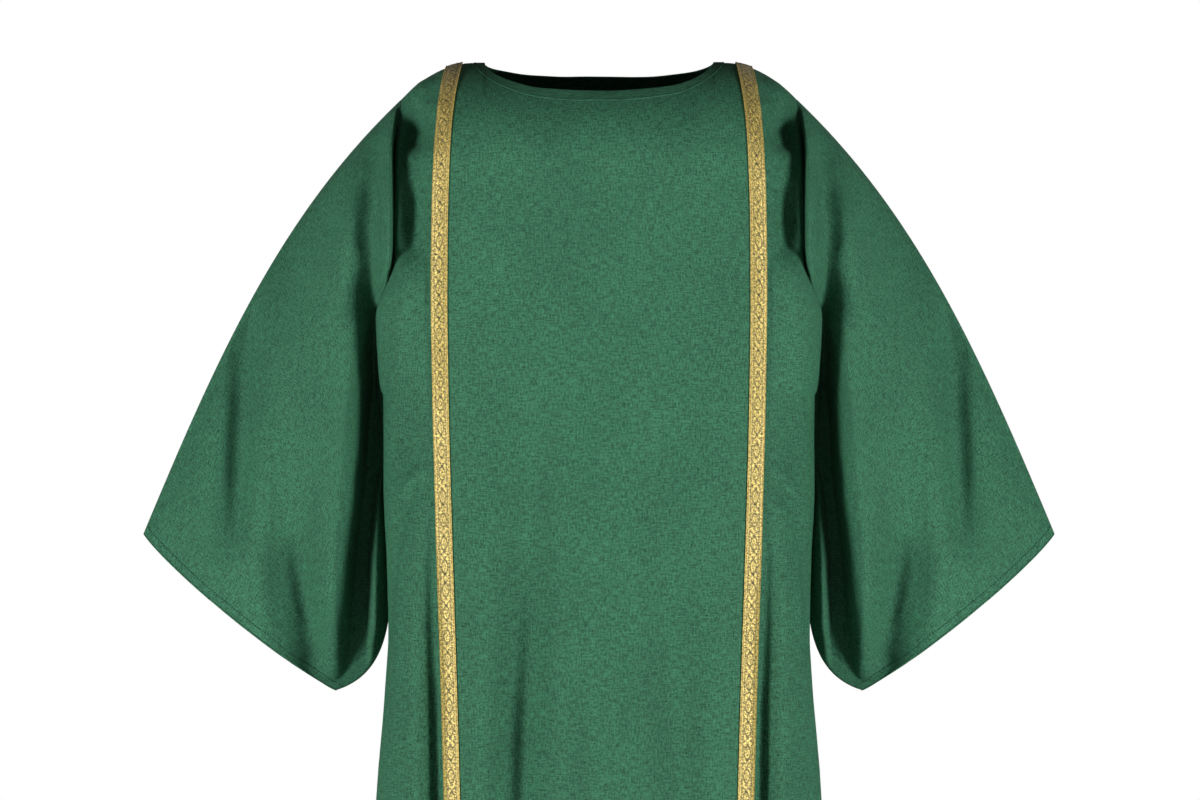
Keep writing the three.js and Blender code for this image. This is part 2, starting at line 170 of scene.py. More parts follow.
def body_folds(side, x, z):
    """Height of the body's folds, in metres: the ones beside the sleeves, alike on both hands and
    before and behind, then the long soft folds of the skirt, and the cloth's own unevenness."""
    out = np.abs(x)
    # The crease that leaves the shoulder beside the galloon and runs into the armhole.
    height = fold(out, z, 9, 4, [
        (158, -20, 0), (171, -30, -7), (183, -39, -12), (190, -52, -14), (196, -80, -10),
        (200, -120, -5), (202, -160, 0),
    ])
    height += fold(out, z, 6, 6, [(164, -12, 0), (178, -22, 4), (190, -34, 4), (197, -46, 2)])
    # The hollow between the galloon and the armhole, and the lighter swell in the middle of it.
    height += fold(out, z, 15, 17, [
        (172, -38, 0), (179, -52, -24), (181, -68, -26), (182, -88, -15), (185, -112, -15),
        (189, -138, -21), (190, -160, -22), (187, -180, -17), (177, -196, -6), (166, -202, 0),
    ])
    height += fold(out, z, 7, 8, [(171, -72, 0), (170, -95, 4), (169, -125, 0)])
    # Below it the side of the body comes forward, with a soft valley beside the galloon.
    height += fold(out, z, 13, 14, [
        (187, -184, 0), (190, -203, 6), (194, -240, 7), (199, -300, 5), (201, -370, 0),
    ])
    height += fold(out, z, 6, 9, [(166, -178, 0), (168, -200, -4), (171, -240, -3), (174, -310, 0)])
    height += fold(out, z, 7, 5, [(141, -190, 0), (141, -215, -2), (140, -245, 0)])
    height += fold(out, z, 15, 15, [(197, -300, 0), (194, -335, -6), (191, -375, -8), (187, -408, 0)])
    # The slanting crease at the elbow's height and the long fold's edge that starts from it.
    height += fold(out, z, 5, 5, [(206, -446, 0), (197, -430, 4), (185, -413, 6), (171, -400, 0)])
    height += fold(out, z, 5, 5, [(205, -456, 0), (191, -440, -5), (179, -426, -6), (167, -414, 0)])
    height += fold(out, z, 4, 26, [
        (188, -432, 0), (193, -452, -6), (201, -485, -12), (208, -550, -13), (214, -635, -9),
        (217, -700, 0),
    ])
    height += fold(out, z, 12, 16, [
        (178, -430, 0), (184, -490, 7), (187, -560, 12), (184, -646, 14), (183, -735, 15),
        (190, -900, 17), (202, -1210, 19),
    ])
    height += fold(out, z, 7, 9, [
        (168, -430, 0), (166, -500, -6), (164, -560, -12), (162, -640, -16), (161, -740, -17),
        (164, -900, -18), (170, -1210, -20),
    ])
    # Small wrinkles under the galloons at the collar bone.
    height += fold(out, z, 4, 4, [(114, -68, 0), (128, -73, -1.5), (143, -77, 0)])
    if side is FRONT:
        skew = np.where(x < 0, 1.0, 0.6)
        height += skew * fold(out, z, 20, 21, [
            (63, -300, 0), (67, -420, -11), (71, -540, -19), (77, -640, -24), (82, -740, -26),
            (84, -820, -26), (92, -1210, -26),
        ])
        height += skew * fold(out, z, 17, 20, [
            (112, -320, 0), (113, -500, 7), (115, -700, 10), (122, -1210, 14),
        ])
        height += skew * fold(out, z, 19, 17, [
            (36, -320, 0), (35, -550, 6), (34, -720, 9), (40, -1210, 14),
        ])
        height += fold(x, z, 15, 17, [(-4, -560, 0), (-3, -740, -6), (-3, -850, -9), (0, -1210, -14)])
    else:
        height += fold(x, z, 17, 15, [
            (-104, -170, 0), (-98, -420, -4), (-92, -800, -9), (-96, -1210, -17),
        ])
        height += fold(x, z, 15, 17, [(96, -170, 0), (92, -420, -5), (88, -800, -9), (84, -1210, -16)])
        height += fold(x, z, 22, 20, [(-44, -260, 0), (-42, -600, 4), (-38, -1210, 14)])
        height += fold(x, z, 20, 22, [(46, -240, 0), (44, -600, 5), (40, -1210, 14)])
        height += fold(x, z, 16, 16, [(2, -330, 0), (1, -700, -5), (0, -1210, -14)])
        height += fold(out, z, 16, 14, [(134, -330, 0), (132, -800, 5), (130, -1210, 14)])
    height += 0.0006 * ripples(x, z, 0.095, side["seed"])
    height += 0.00022 * ripples(x, z, 0.034, side["seed"] + 1)
    return height


def outward(points, facing):
    """The directions square to a grid of points: the cross product of its steps down and across,
    all turned towards the side that the cloth faces."""
    square = np.cross(np.gradient(points, axis=0), np.gradient(points, axis=1))
    square /= np.maximum(np.linalg.norm(square, axis=-1, keepdims=True), 1e-12)
    middle = square[points.shape[0] // 2, points.shape[1] // 2]
    return square if middle[1] * facing > 0 else -square


def body_surface(side, angle, down):
    """The folded outer face. Each point of the plain shape moves along its outward direction by the
    folds' height, but hardly sideways, so that the body keeps its outline. The height fades out at
    the seams, so that the pieces meet there."""
    plain = body_shape(side, angle, down)
    height = body_folds(side, plain[..., 0], plain[..., 2])
    fade = 0.012 + 0.022 * ease(-0.12, -0.02, plain[..., 2])
    height *= ease(0.0, fade, np.abs(plain[..., 1]))
    to_armhole = SHOULDER_HALF * (np.pi / 2 - np.abs(angle)) ** 1.5
    height *= np.where(down < 2, ease(0.0, 0.006, to_armhole), 1)
    points = plain + outward(plain, side["facing"]) * height[..., None] * (0.2, 1, 1)
    points[..., 1] = side["facing"] * np.maximum(side["facing"] * points[..., 1], SEAM)
    return points


def sheet_mesh(name, points, uv, outwards, closed=False):
    """A grid of points as four-sided faces that point outwards, with a UV map in metres. closed
    joins the last row to the first."""
    rows, columns = points.shape[:2]
    index = np.arange(rows * columns).reshape(rows, columns)
    below = np.roll(index, -1, axis=0) if closed else index[1:]
    above = index if closed else index[:-1]
    quads = np.stack([above[:, :-1], below[:, :-1], below[:, 1:], above[:, 1:]], -1).reshape(-1, 4)
    flat = points.reshape(-1, 3)
    square = np.cross(flat[quads[:, 2]] - flat[quads[:, 0]], flat[quads[:, 3]] - flat[quads[:, 1]])
    if np.sum(square * outwards.reshape(-1, 3)[quads[:, 0]]) < 0:
        quads = quads[:, ::-1]
    mesh = bpy.data.meshes.new(name)
    mesh.from_pydata(flat, [], quads)
    corners = uv.reshape(-1, 2)[quads.ravel()]
    mesh.uv_layers.new(name="UVMap").data.foreach_set("uv", corners.ravel())
    mesh.shade_smooth()
    piece = bpy.data.objects.new(name, mesh)
    bpy.context.scene.collection.objects.link(piece)
    return piece


def thicken(piece, thickness):
    """Gives a sheet its thickness, inwards from the face that shows."""
    solid = piece.modifiers.new("thickness", "SOLIDIFY")
    solid.thickness = thickness
    solid.offset = -1


def lengths(points, axis):
    """Distance run along a grid from its first row or column, as the sum of its steps."""
    steps = np.linalg.norm(np.diff(points, axis=axis), axis=-1)
    first = np.zeros(steps.shape[1:] if axis == 0 else (steps.shape[0],))
    return np.concatenate([np.expand_dims(first, axis), np.cumsum(steps, axis=axis)], axis)


def linear(colour):
    """A colour from its sRGB hex value to linear light."""
    share = np.array([colour >> 16 & 255, colour >> 8 & 255, colour & 255]) / 255
    light = np.where(share < 0.04045, share / 12.92, ((share + 0.055) / 1.055) ** 2.4)
    return (*light.tolist(), 1.0)


def add(tree, kind, settings, links):
    """Adds one node. settings are its own options, and links gives its sockets a value or a feed."""
    node = tree.nodes.new(kind)
    for name, value in settings.items():
        setattr(node, name, value)
    for name, value in links.items():
        if isinstance(value, bpy.types.NodeSocket):
            tree.links.new(value, node.inputs[name])
        else:
            node.inputs[name].default_value = value
    return node


# Polyester and viscose plain weave with slubs, dyed green: matt, with a faint sheen where it turns
# away. The threads are about 0.5 mm apart, so the weave is drawn at 2.4 mm to show. Slubs 8 to
# 10 mm long and 1.2 mm thick run both ways, a little lighter than the ground between them.
WEAVE_MM = 2.4
SLUB_ACROSS_MM = 10
SLUB_DOWN_MM = 8
SLUB_THICK_MM = 1.2
green_cloth = bpy.data.materials.new("green_slub_plain_weave")
green_cloth.use_nodes = True
tree = green_cloth.node_tree
tree.nodes.clear()
uv_map = add(tree, "ShaderNodeUVMap", {"uv_map": "UVMap"}, {})
in_mm = add(tree, "ShaderNodeMapping", {}, {"Vector": uv_map.outputs[0], "Scale": (1000, 1000, 1000)})
uneven = add(tree, "ShaderNodeTexNoise", {"noise_dimensions": "2D"}, {
    "Vector": in_mm.outputs[0], "Scale": 0.11, "Detail": 2.0,
})
pushed = add(tree, "ShaderNodeVectorMath", {"operation": "MULTIPLY_ADD"}, {
    0: uneven.outputs["Color"], 1: (WEAVE_MM, WEAVE_MM, 0), 2: in_mm.outputs[0],
})
turned = add(tree, "ShaderNodeVectorMath", {"operation": "SCALE"}, {
    0: pushed.outputs[0], "Scale": 2 * np.pi / WEAVE_MM,
})
thread = add(tree, "ShaderNodeSeparateXYZ", {}, {0: turned.outputs[0]})
warp = add(tree, "ShaderNodeMath", {"operation": "SINE"}, {0: thread.outputs[0]})
weft = add(tree, "ShaderNodeMath", {"operation": "SINE"}, {0: thread.outputs[1]})
crossing = add(tree, "ShaderNodeMath", {"operation": "MULTIPLY"}, {
    0: warp.outputs[0], 1: weft.outputs[0],
})
across = add(tree, "ShaderNodeMapping", {}, {
    "Vector": in_mm.outputs[0], "Scale": (1 / SLUB_ACROSS_MM, 1 / SLUB_THICK_MM, 1),
})
slub_across = add(tree, "ShaderNodeTexNoise", {"noise_dimensions": "2D"}, {
    "Vector": across.outputs[0], "Scale": 1.0, "Detail": 3.0, "Roughness": 0.6,
})
downwards = add(tree, "ShaderNodeMapping", {}, {
    "Vector": in_mm.outputs[0], "Scale": (1 / SLUB_THICK_MM, 1 / SLUB_DOWN_MM, 1),
})
slub_down = add(tree, "ShaderNodeTexNoise", {"noise_dimensions": "2D"}, {
    "Vector": downwards.outputs[0], "Scale": 1.0, "Detail": 3.0, "Roughness": 0.6,
})
fleck = add(tree, "ShaderNodeTexNoise", {"noise_dimensions": "2D"}, {
    "Vector": in_mm.outputs[0], "Scale": 0.55, "Detail": 2.0, "Roughness": 0.7,
})
both_slubs = add(tree, "ShaderNodeMath", {"operation": "ADD"}, {
    0: slub_across.outputs[0], 1: slub_down.outputs[0],
})
with_fleck = add(tree, "ShaderNodeMath", {"operation": "MULTIPLY_ADD"}, {
    0: fleck.outputs[0], 1: 1.3, 2: both_slubs.outputs[0],
})
with_weave = add(tree, "ShaderNodeMath", {"operation": "MULTIPLY_ADD"}, {
    0: crossing.outputs[0], 1: 0.12, 2: with_fleck.outputs[0],
})
tone = add(tree, "ShaderNodeMapRange", {}, {
    "Value": with_weave.outputs[0], "From Min": 1.26, "From Max": 2.04,
})
dyed = add(tree, "ShaderNodeMix", {"data_type": "RGBA"}, {
    0: tone.outputs[0], 6: linear(0x1D402D), 7: linear(0x3F7A5C),
})
cloud = add(tree, "ShaderNodeTexNoise", {"noise_dimensions": "2D"}, {
    "Vector": in_mm.outputs[0], "Scale": 0.012, "Detail": 2.0,
})
cloud_range = add(tree, "ShaderNodeMapRange", {}, {
    "Value": cloud.outputs[0], "From Min": 0.3, "From Max": 0.7, "To Min": 0.94, "To Max": 1.06,
})
dyed_cloud = add(tree, "ShaderNodeVectorMath", {"operation": "SCALE"}, {
    0: dyed.outputs[2], "Scale": cloud_range.outputs[0],
})
relief = add(tree, "ShaderNodeMath", {"operation": "MULTIPLY_ADD"}, {
    0: crossing.outputs[0], 1: 0.16, 2: both_slubs.outputs[0],
})
bump = add(tree, "ShaderNodeBump", {}, {
    "Height": relief.outputs[0], "Strength": 0.55, "Distance": 0.0009,
})
shader = add(tree, "ShaderNodeBsdfPrincipled", {}, {
    "Base Color": dyed_cloud.outputs[0], "Normal": bump.outputs[0], "Roughness": 0.7,
    "Specular IOR Level": 0.15, "Sheen Weight": 0.08, "Sheen Roughness": 0.45,
    "Sheen Tint": linear(0x9CC9B0),
})
add(tree, "ShaderNodeOutputMaterial", {}, {"Surface": shader.outputs[0]})

COLUMNS = 191
CROWN_ROWS = 38
CHEST_ROWS = 38
SKIRT_ROWS = 148
angles = np.linspace(-np.pi / 2, np.pi / 2, COLUMNS)
# The last rows lie closer together, at these heights above the hem, where it is turned and sewn.
above_hem = np.array([24, 22, 21, 20, 19, 18, 14, 10, 6, 3, 1.5, 0]) * MM
downs = np.concatenate([
    np.linspace(0, 1, CROWN_ROWS, endpoint=False),
    np.linspace(1, 2, CHEST_ROWS, endpoint=False),
    np.linspace(2, 3 - above_hem[0] / SIDE_LENGTH, SKIRT_ROWS, endpoint=False),
    3 - above_hem / SIDE_LENGTH,
])
for name, side, node in [("front_cloth", FRONT, "front_panel"), ("back_cloth", BACK, "back_panel")]:
    grid_down, grid_angle = np.meshgrid(downs, angles, indexing="ij")
    points = body_surface(side, grid_angle, grid_down)
    at_armpit = lengths(points, 1)[CROWN_ROWS + CHEST_ROWS]
    from_middle = (at_armpit - at_armpit[COLUMNS // 2])[None, :]
    from_top = lengths(points, 0)
    uv = np.stack(np.broadcast_arrays(from_middle, from_top - from_top[-1:]), -1)
    piece = sheet_mesh(name, points, uv, outward(points, side["facing"]))
    thicken(piece, CLOTH)
    piece.data.materials.append(green_cloth)
    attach(piece, "garment_body")
    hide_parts(node)


# ---------------------------------------------------------------------------------------------
# Neck: the edge is bound with a bias strip of the same cloth, 10 mm outside and 13 mm inside as a
# facing, and it is topstitched 9 mm from the edge with green thread.

BINDING_IN = 13
BINDING_OUT = 10
BINDING_SEWN = 9
BINDING_THICK = 0.0003
BINDING_RISE = 0.0004


def turned_edge(bed, up, inner, outer, rise):
    """The outer face of a strip folded round a cloth's edge. bed is the cloth's face in steps of
    1 mm from its edge. The section runs along the inside for inner steps, half a turn round the
    edge, and along the outside for outer steps."""
    radius = CLOTH / 2 + rise
    away = bed[:, 0] - bed[:, 1]
    away /= np.linalg.norm(away, axis=-1, keepdims=True)
    turn = np.linspace(-np.pi / 2, np.pi / 2, 9)[None, :, None]
    middle = (bed[:, 0] - up[:, 0] * CLOTH / 2)[:, None]
    round_edge = middle + radius * (np.cos(turn) * away[:, None] + np.sin(turn) * up[:, :1])
    inside = bed[:, inner:0:-1] - up[:, inner:0:-1] * (CLOTH + rise)
    outside = bed[:, 1 : outer + 1] + up[:, 1 : outer + 1] * rise
    return np.concatenate([inside, round_edge, outside], 1)


def neck_spots(turn, away):
    """Places on the body at a distance out from the neckline, seen from above. The neckline is an
    ellipse of power 3.1, and the distance is laid off square to it."""
    reach = np.where(np.sin(turn) < 0, FRONT["neck"], BACK["neck"])
    cosine, sine = np.cos(turn), np.sin(turn)
    size = (np.abs(cosine) ** NECK_POWER + np.abs(sine) ** NECK_POWER) ** (1 / NECK_POWER)
    x = NECK_HALF * cosine / size
    y = reach * sine / size
    square_x = np.sign(cosine) * np.abs(cosine / size) ** (NECK_POWER - 1) / NECK_HALF
    square_y = np.sign(sine) * np.abs(sine / size) ** (NECK_POWER - 1) / reach
    size = np.hypot(square_x, square_y)
    return x + away * square_x / size, y + away * square_y / size


def spot_on_body(side, x, y):
    """The point of the body's face over a place on the shoulders: the quarter turn is solved for the
    depth, as the arc sine of the depth's share of the deepest."""
    out = np.minimum(np.abs(x) / SHOULDER_HALF, 1)
    fore = np.cbrt(1 - out**3)
    in_neck = np.minimum(1, np.abs(x) / NECK_HALF)
    reach = side["neck"] * (1 - in_neck**NECK_POWER) ** (1 / NECK_POWER)
    deepest = side["armhole"] + (side["chest"] - side["armhole"]) * fore
    start = np.arcsin(np.minimum(1, reach / deepest))
    lean = np.arcsin(np.clip(np.abs(y) / deepest, 0, 1))
    down = np.maximum(0, (lean - start) / (np.pi / 2 - start))
    return body_shape(side, np.sign(x) * np.arctan2(out, fore), down)


# The turn starts a little off the shoulder seam, so that no point falls on it.
turns = np.linspace(0, 2 * np.pi, 420, endpoint=False) + 0.004
turn, away = np.meshgrid(turns, np.arange(BINDING_IN + 1) * MM, indexing="ij")
x, y = neck_spots(turn, away)
bed = np.where((y < 0)[..., None], spot_on_body(FRONT, x, y), spot_on_body(BACK, x, y))
ahead = np.roll(bed, -1, axis=0) - np.roll(bed, 1, axis=0)
up = np.cross(ahead, np.gradient(bed, axis=1))
up /= np.linalg.norm(up, axis=-1, keepdims=True)
up *= np.sign(up[..., 2:])
front_height = body_folds(FRONT, bed[..., 0], bed[..., 2])
back_height = body_folds(BACK, bed[..., 0], bed[..., 2])
height = np.where(bed[..., 1] < 0, front_height, back_height)
bed = bed + up * (height * ease(0.0, 0.012, np.abs(bed[..., 1])))[..., None]
section = turned_edge(bed, up, BINDING_IN, BINDING_OUT, BINDING_RISE)
uv = np.stack([lengths(section, 0), lengths(section, 1)], -1)
outwards = np.zeros(section.shape)
outwards[:, -2:] = up[:, [BINDING_OUT]]
neck_binding = sheet_mesh("neck_binding", section, uv, outwards, closed=True)
thicken(neck_binding, BINDING_THICK)
neck_binding.data.materials.append(green_cloth)
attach(neck_binding, "garment_body")
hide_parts("neck_facing_front", "neck_facing_back")

# Spun polyester sewing thread, dyed to match and a shade darker, with a slight gloss.
green_thread = bpy.data.materials.new("green_polyester_thread")
green_thread.use_nodes = True
tree = green_thread.node_tree
tree.nodes.clear()
where = add(tree, "ShaderNodeTexCoord", {}, {})
ply = add(tree, "ShaderNodeTexNoise", {}, {
    "Vector": where.outputs["Object"], "Scale": 900.0, "Detail": 1.0,
})
shade = add(tree, "ShaderNodeMix", {"data_type": "RGBA"}, {
    0: ply.outputs[0], 6: linear(0x0E2B1D), 7: linear(0x1B4533),
})
shader = add(tree, "ShaderNodeBsdfPrincipled", {}, {
    "Base Color": shade.outputs[2], "Roughness": 0.7, "Specular IOR Level": 0.2,
})
add(tree, "ShaderNodeOutputMaterial", {}, {"Surface": shader.outputs[0]})


def stitches(name, line, up, pitch, radius, closed=False):
    """A row of lockstitches along a line, each five rings of five points. It is a thread bent as an
    arch: along its length the middle rises by one less the square of the share from its middle, and
    the thread thins to its two ends."""
    if closed:
        line, up = np.concatenate([line, line[:1]]), np.concatenate([up, up[:1]])
    run = lengths(line, 0)
    count = int(run[-1] / pitch)
    at = (np.arange(count) + 0.5) * run[-1] / count
    spot = np.stack([np.interp(at, run, line[:, k]) for k in range(3)], 1)
    way = np.stack([np.interp(at + pitch / 4, run, line[:, k]) for k in range(3)], 1) - spot
    way /= np.linalg.norm(way, axis=1, keepdims=True)
    rise = np.stack([np.interp(at, run, up[:, k]) for k in range(3)], 1)
    rise -= way * np.sum(rise * way, axis=1, keepdims=True)
    rise /= np.linalg.norm(rise, axis=1, keepdims=True)
    flank = np.cross(way, rise)
    sides = 5
    share = np.array([-1, -0.6, 0, 0.6, 1.0])[None, :, None, None]
    angle = (np.arange(sides) * 2 * np.pi / sides)[None, None, :, None]
    thin = radius * np.sqrt(1.02 - share**4)
    way, rise, flank = (v[:, None, None, :] for v in (way, rise, flank))
    rings = spot[:, None, None, :] + way * share * pitch * 0.41
    rings = rings + rise * (radius * 1.6 * (1 - share**2) - radius * 0.3 + thin * np.sin(angle))
    rings = rings + flank * thin * np.cos(angle)
    ring, step = np.meshgrid(np.arange(4), np.arange(sides), indexing="ij")
    this = ring * sides + step
    after = ring * sides + (step + 1) % sides
    face = np.stack([this, after, after + sides, this + sides], -1)
    first = (np.arange(count) * 5 * sides)[:, None, None]
    quads = (face.reshape(1, -1, 4) + first).reshape(-1, 4).tolist()
    caps = (np.array([[4, 3, 2, 1, 0], [20, 21, 22, 23, 24]])[None] + first).reshape(-1, 5).tolist()
    mesh = bpy.data.meshes.new(name)
    mesh.from_pydata(rings.reshape(-1, 3), [], quads + caps)
    mesh.shade_smooth()
    piece = bpy.data.objects.new(name, mesh)
    bpy.context.scene.collection.objects.link(piece)
    piece.data.materials.append(green_thread)
    return piece


sewn_up = up[:, BINDING_SEWN]
sewn = bed[:, BINDING_SEWN] + sewn_up * BINDING_THICK
neck_stitches = stitches("neck_stitches", sewn, sewn_up, pitch=0.0032, radius=0.00028, closed=True)
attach(neck_stitches, "garment_body")


# ---------------------------------------------------------------------------------------------
# Bottom hem: the same cloth, turned up 21 mm inside and stitched through 19 mm above the edge with
# green thread.

HEM_IN = 21
HEM_SEWN = 19
HEM_THICK = 0.0006
HEM_RISE = 0.0007

hem_angles = np.linspace(-np.pi / 2, np.pi / 2, 331)
hem_downs = 3 - np.arange(HEM_IN + 1) * MM / SIDE_LENGTH
for name, side in [("front", FRONT), ("back", BACK)]:
    grid_angle, grid_down = np.meshgrid(hem_angles, hem_downs, indexing="ij")
    bed = body_surface(side, grid_angle, grid_down)
    up = outward(bed, side["facing"])
    section = turned_edge(bed, up, HEM_IN, 0, HEM_RISE)
    section[..., 1] = side["facing"] * np.maximum(side["facing"] * section[..., 1], SEAM)
    uv = np.stack([lengths(section, 0), lengths(section, 1)], -1)
    inwards = np.zeros(section.shape)
    inwards[:, : HEM_IN // 2] = -up[:, :1]
    hem = sheet_mesh(f"{name}_hem", section, uv, inwards)
    thicken(hem, HEM_THICK)
    hem.data.materials.append(green_cloth)
    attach(hem, "garment_body")
    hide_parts(f"bottom_hem_{name}")
    sewn, sewn_up = bed[2:-2, HEM_SEWN], up[2:-2, HEM_SEWN]
    row = stitches(f"{name}_hem_stitches", sewn, sewn_up, pitch=0.0034, radius=0.00035)
    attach(row, "garment_body")


# ---------------------------------------------------------------------------------------------
# Sleeves: wide, open at the mouth, a front and a back half each of the body's cloth, set into the
# armhole and sewn along the top and under the arm. The cloth stands up in a roll beside the
# armhole and falls in one deep fold under the arm. Each mouth's edge is turned in 9 mm and
# topstitched.

MOUTH_DEPTH = 0.045
MOUTH_IN = 9
MOUTH_SEWN = 8
SHOULDER_POINT = (SHOULDER_HALF + GAP, -SHOULDER_DROP)
ARMPIT = (half_width(ARMPIT_Z) - SIDE_PINCH + GAP, ARMPIT_Z)
TIP = (SHOULDER_POINT[0] + 0.257, SHOULDER_POINT[1] - 0.433)
CORNER = (ARMPIT[0] + 0.056, ARMPIT[1] - 0.295)


def curve(corners, share):
    """A cubic Bezier curve: its four corner points weighted by the cubes of share and of its rest."""
    rest = 1 - share
    weights = (rest**3, 3 * rest**2 * share, 3 * rest * share**2, share**3)
    return tuple(sum(w * corner[k] for w, corner in zip(weights, corners)) for k in (0, 1))


def sleeve_folds(side, x, z):
    """Height of the sleeve's folds, in metres, towards the side that it faces."""
    # The roll beside the armhole, with its rim and the shallow trough behind the rim. It is fuller
    # in front, where the arm carries the cloth forward.
    fullness = 1.0 if side is FRONT else 0.35
    height = fullness * fold(x, z, 6, 75, [
        (199, -38, 0), (203, -50, 12), (206, -75, 24), (208, -110, 30), (208, -150, 30),
        (208, -190, 25), (212, -222, 10), (216, -245, 0),
    ])
    height += fold(x, z, 5, 6, [
        (203, -58, 0), (207, -85, 4), (208, -120, 5), (208, -190, 4), (211, -225, 0),
    ])
    height += fullness * fold(x, z, 9, 17, [
        (213, -54, 0), (219, -85, -12), (223, -130, -20), (226, -180, -21), (228, -225, -14),
        (228, -260, 0),
    ])
    height += fold(x, z, 14, 22, [(236, -95, 0), (246, -150, 5), (256, -220, 6), (275, -300, 0)])
    # The deep fold between the body's side and the sleeve, the strip of underarm cloth inside it,
    # and the full fold in front of it.
    height += fold(x, z, 7, 12, [
        (219, -168, 0), (221, -205, -9), (223, -240, -22), (225, -280, -38), (226, -330, -46),
        (227, -400, -48), (231, -440, -50), (236, -490, -56), (238, -540, -58), (240, -590, -52),
        (243, -622, -24),
    ])
    height += fold(x, z, 12, 8, [
        (218, -395, 0), (219, -440, 8), (221, -500, 12), (222, -560, 12), (226, -596, 0),
    ])
    height += fold(x, z, 16, 26, [
        (247, -240, 0), (249, -300, 6), (253, -380, 11), (259, -430, 14), (264, -480, 15),
        (266, -540, 14), (268, -590, 9), (271, -622, 2),
    ])
    # The long soft folds of the sleeve's face.
    height += fold(x, z, 13, 16, [
        (348, -222, 0), (353, -280, -15), (355, -340, -21), (358, -400, -19), (363, -460, -9),
        (368, -500, 0),
    ])
    height += fold(x, z, 24, 25, [
        (316, -400, 0), (309, -450, -9), (303, -500, -24), (296, -550, -34), (288, -590, -31),
        (279, -616, -17),
    ])
    height += fold(x, z, 16, 20, [(330, -330, 0), (334, -420, 7), (336, -500, 8), (330, -570, 4)])
    height += fold(x, z, 16, 24, [(385, -380, 0), (392, -450, 6), (388, -520, 3)])
    height += 0.0009 * ripples(x, z, 0.090, side["seed"] + 2)
    height += 0.0002 * ripples(x, z, 0.032, side["seed"] + 3)
    return height


def sleeve_outline(around, along):
    """The sleeve's four edges: the top seam and the underarm seam along it, each bowed out by a half
    sine or bent by its curve's handles, and the mouth's rim around it."""
    bow = np.sin(np.pi * along)
    top = curve([
        SHOULDER_POINT, (SHOULDER_POINT[0] + 0.1046, -0.1425), (TIP[0] - 0.0822, TIP[1] + 0.1824),
        TIP,
    ], along)
    top = (top[0] + 0.0045 * bow, top[1] + 0.0035 * bow)
    under = curve([
        ARMPIT, (ARMPIT[0] + 0.022, ARMPIT[1] - 0.110), (ARMPIT[0] - 0.037, ARMPIT[1] - 0.266),
        CORNER,
    ], along)
    rim = curve([
        TIP, (TIP[0] - 0.030, TIP[1] - 0.040), (CORNER[0] + 0.025, CORNER[1] + 0.010), CORNER,
    ], around)
    return top, under, rim


def sleeve_surface(side, around, along):
    """The outer face of the left sleeve. around runs from the top seam (0) to the underarm seam (1)
    and along from the armhole to the mouth. It is a Coons patch: the blend of the top and underarm
    curves, plus each end's own departure from them, and its depth is a half sine from seam to seam."""
    swell = np.sin(np.pi * around)
    z = ARMHOLE_MID + ARMHOLE_HALF * np.cos(np.pi * around)
    x = half_width(z) - side_seam(z, side["armhole"] * swell, side["chest"]) + GAP
    armhole = (x, z)
    top, under, rim = sleeve_outline(around, along)
    flat = []
    for k in (0, 1):
        at_arm = armhole[k] - (1 - around) * SHOULDER_POINT[k] - around * ARMPIT[k]
        at_rim = rim[k] - (1 - around) * TIP[k] - around * CORNER[k]
        between = (1 - around) * top[k] + around * under[k]
        flat.append(between + (1 - along) * at_arm + along * at_rim)
    depth = ((1 - along) * side["armhole"] + along * MOUTH_DEPTH) * swell
    from_armhole = flat[0] - x + 0.3 * np.maximum(0, z - flat[1])
    height = sleeve_folds(side, flat[0], flat[1]) * ease(0, 0.22, swell) * ease(0, 0.005, from_armhole)
    # The hem puckers in two fine waves, 11 mm and 17 mm apart.
    slant = (flat[0] - flat[1]) * 2 * np.pi
    pucker = np.sin(slant / 0.011) + np.sin(slant / 0.017)
    height = height + 0.00025 * pucker * ease(0.96, 0.99, along) * swell
    depth = np.maximum(depth + height, np.minimum(depth, 0.002))
    return np.stack([flat[0], side["facing"] * np.maximum(depth, SEAM), flat[1]], -1)


def from_mouth(side, around, distances):
    """The along values that lie at given distances from the mouth: one less the distance over the
    length that a unit of along has there, measured on the last fiftieth of each row."""
    back = 0.02
    at_mouth = sleeve_surface(side, around, np.full(around.shape, 1.0))
    behind = sleeve_surface(side, around, np.full(around.shape, 1.0 - back))
    rate = np.linalg.norm(at_mouth - behind, axis=-1) / back
    return 1 - distances / np.maximum(rate, 0.05)


